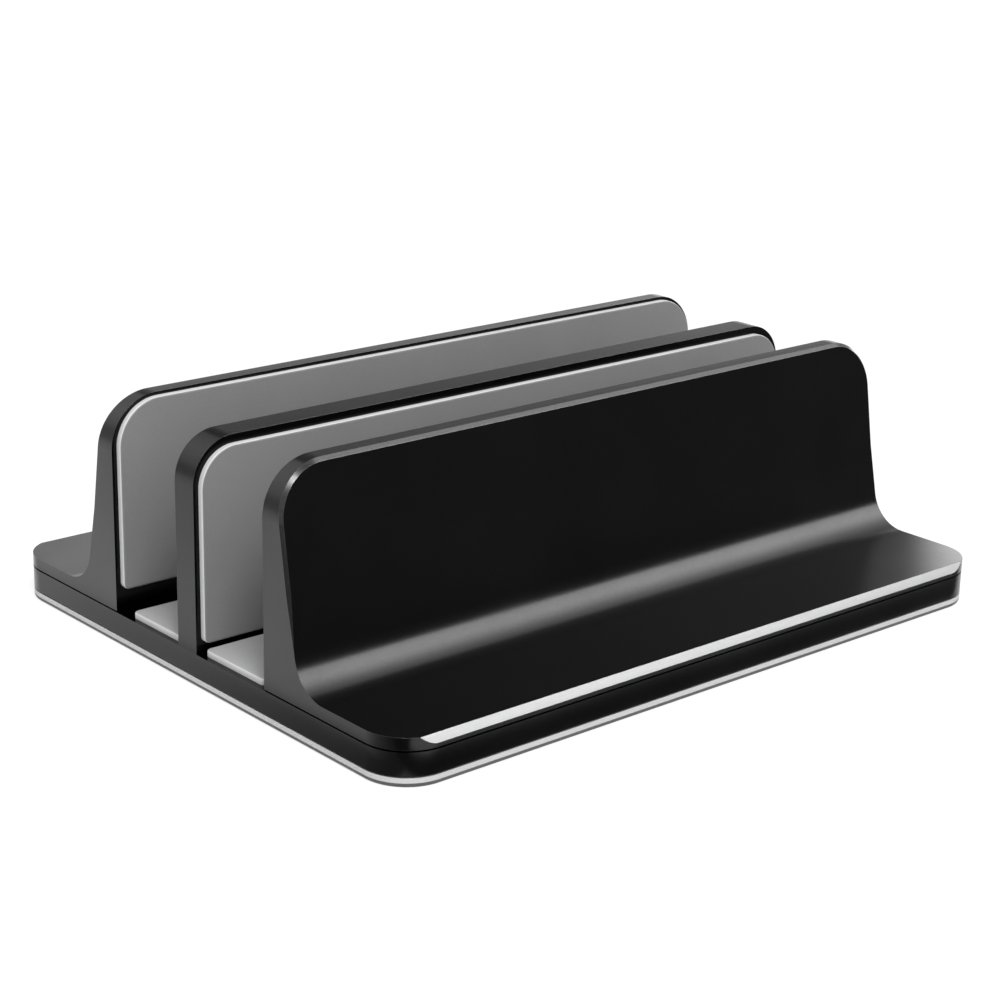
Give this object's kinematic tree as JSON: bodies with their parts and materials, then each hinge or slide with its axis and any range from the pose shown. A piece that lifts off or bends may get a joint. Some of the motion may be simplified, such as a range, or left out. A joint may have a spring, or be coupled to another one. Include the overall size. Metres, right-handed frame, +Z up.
{
  "type": "adjustable two-slot upright laptop stand",
  "caption": "Flat base with a fixed centre wall and sliding L-shaped side brackets, padded to hold closed laptops upright in adjustable slots.",
  "frame": {"origin": "centre of the resting face under the mat", "axes": "+X along the walls, +Y across the slots towards the rear bracket, +Z up"},
  "size_m": [0.178, 0.145, 0.0568],
  "materials": {
    "black_anodised": "fine bead-blasted black anodised aluminium extrusion, satin sheen",
    "wall_silicone": "matte mid-grey silicone pad with a rounded rim",
    "floor_silicone": "matte light-grey silicone pad with a rounded rim",
    "mat_silicone": "matte pale-grey silicone non-slip mat",
    "black_steel": "black oxide button-head socket screw",
    "plain_steel": "zinc-plated flat washer"
  },
  "bodies": {
    "stand_base": {"base_plate": "black_anodised", "base_mat": "mat_silicone", "centre_wall": "black_anodised", "centre_pad_front": "wall_silicone", "centre_pad_rear": "wall_silicone", "front_floor_pad": "floor_silicone", "rear_floor_pad": "floor_silicone", "centre_screw_left": "black_steel", "centre_screw_right": "black_steel"},
    "front_side": {"front_bracket": "black_anodised", "front_bracket_pad": "wall_silicone", "front_clamp_screw_left": "black_steel", "front_clamp_screw_right": "black_steel", "front_washer_left": "plain_steel", "front_washer_right": "plain_steel"},
    "rear_side": {"rear_bracket": "black_anodised", "rear_bracket_pad": "wall_silicone", "rear_clamp_screw_left": "black_steel", "rear_clamp_screw_right": "black_steel", "rear_washer_left": "plain_steel", "rear_washer_right": "plain_steel"}
  },
  "joints": [
    {"name": "front_bracket_slide", "type": "slide", "parent": "stand_base", "child": "front_side", "axis": [0, -1, 0], "range_m": [-0.0018, 0.01]},
    {"name": "rear_bracket_slide", "type": "slide", "parent": "stand_base", "child": "rear_side", "axis": [0, 1, 0], "range_m": [-0.0018, 0.01]}
  ]
}
